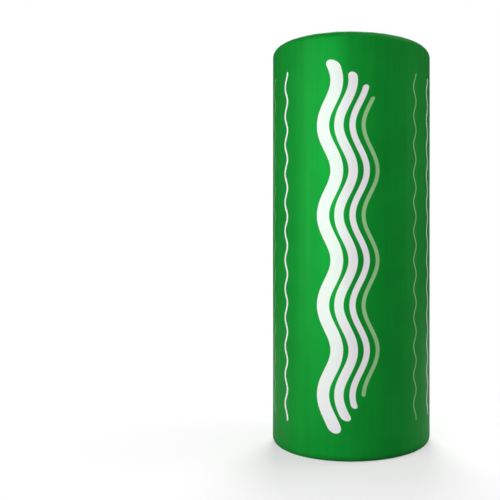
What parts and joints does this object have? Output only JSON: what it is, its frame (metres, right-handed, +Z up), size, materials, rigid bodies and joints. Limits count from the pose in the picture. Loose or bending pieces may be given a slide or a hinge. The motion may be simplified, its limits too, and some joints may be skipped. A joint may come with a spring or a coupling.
{
  "type": "insulation roll",
  "caption": "Upright roll of squeezed mineral wool in a green film wrap that turns over both rims and leaves the wound edges of the mat showing at the ends.",
  "frame": {"origin": "centre of the lower end, on the plane that the roll stands on", "axes": "+Z up along the axis of the roll; -Y is the side that the picture shows"},
  "size_m": [0.486, 0.4858, 1.2018],
  "materials": {
    "wool": "matte brown mineral wool",
    "film": "satin green polyethylene film"
  },
  "bodies": {
    "root": {"wool_roll": "wool", "film_wrap": "film"}
  },
  "joints": []
}
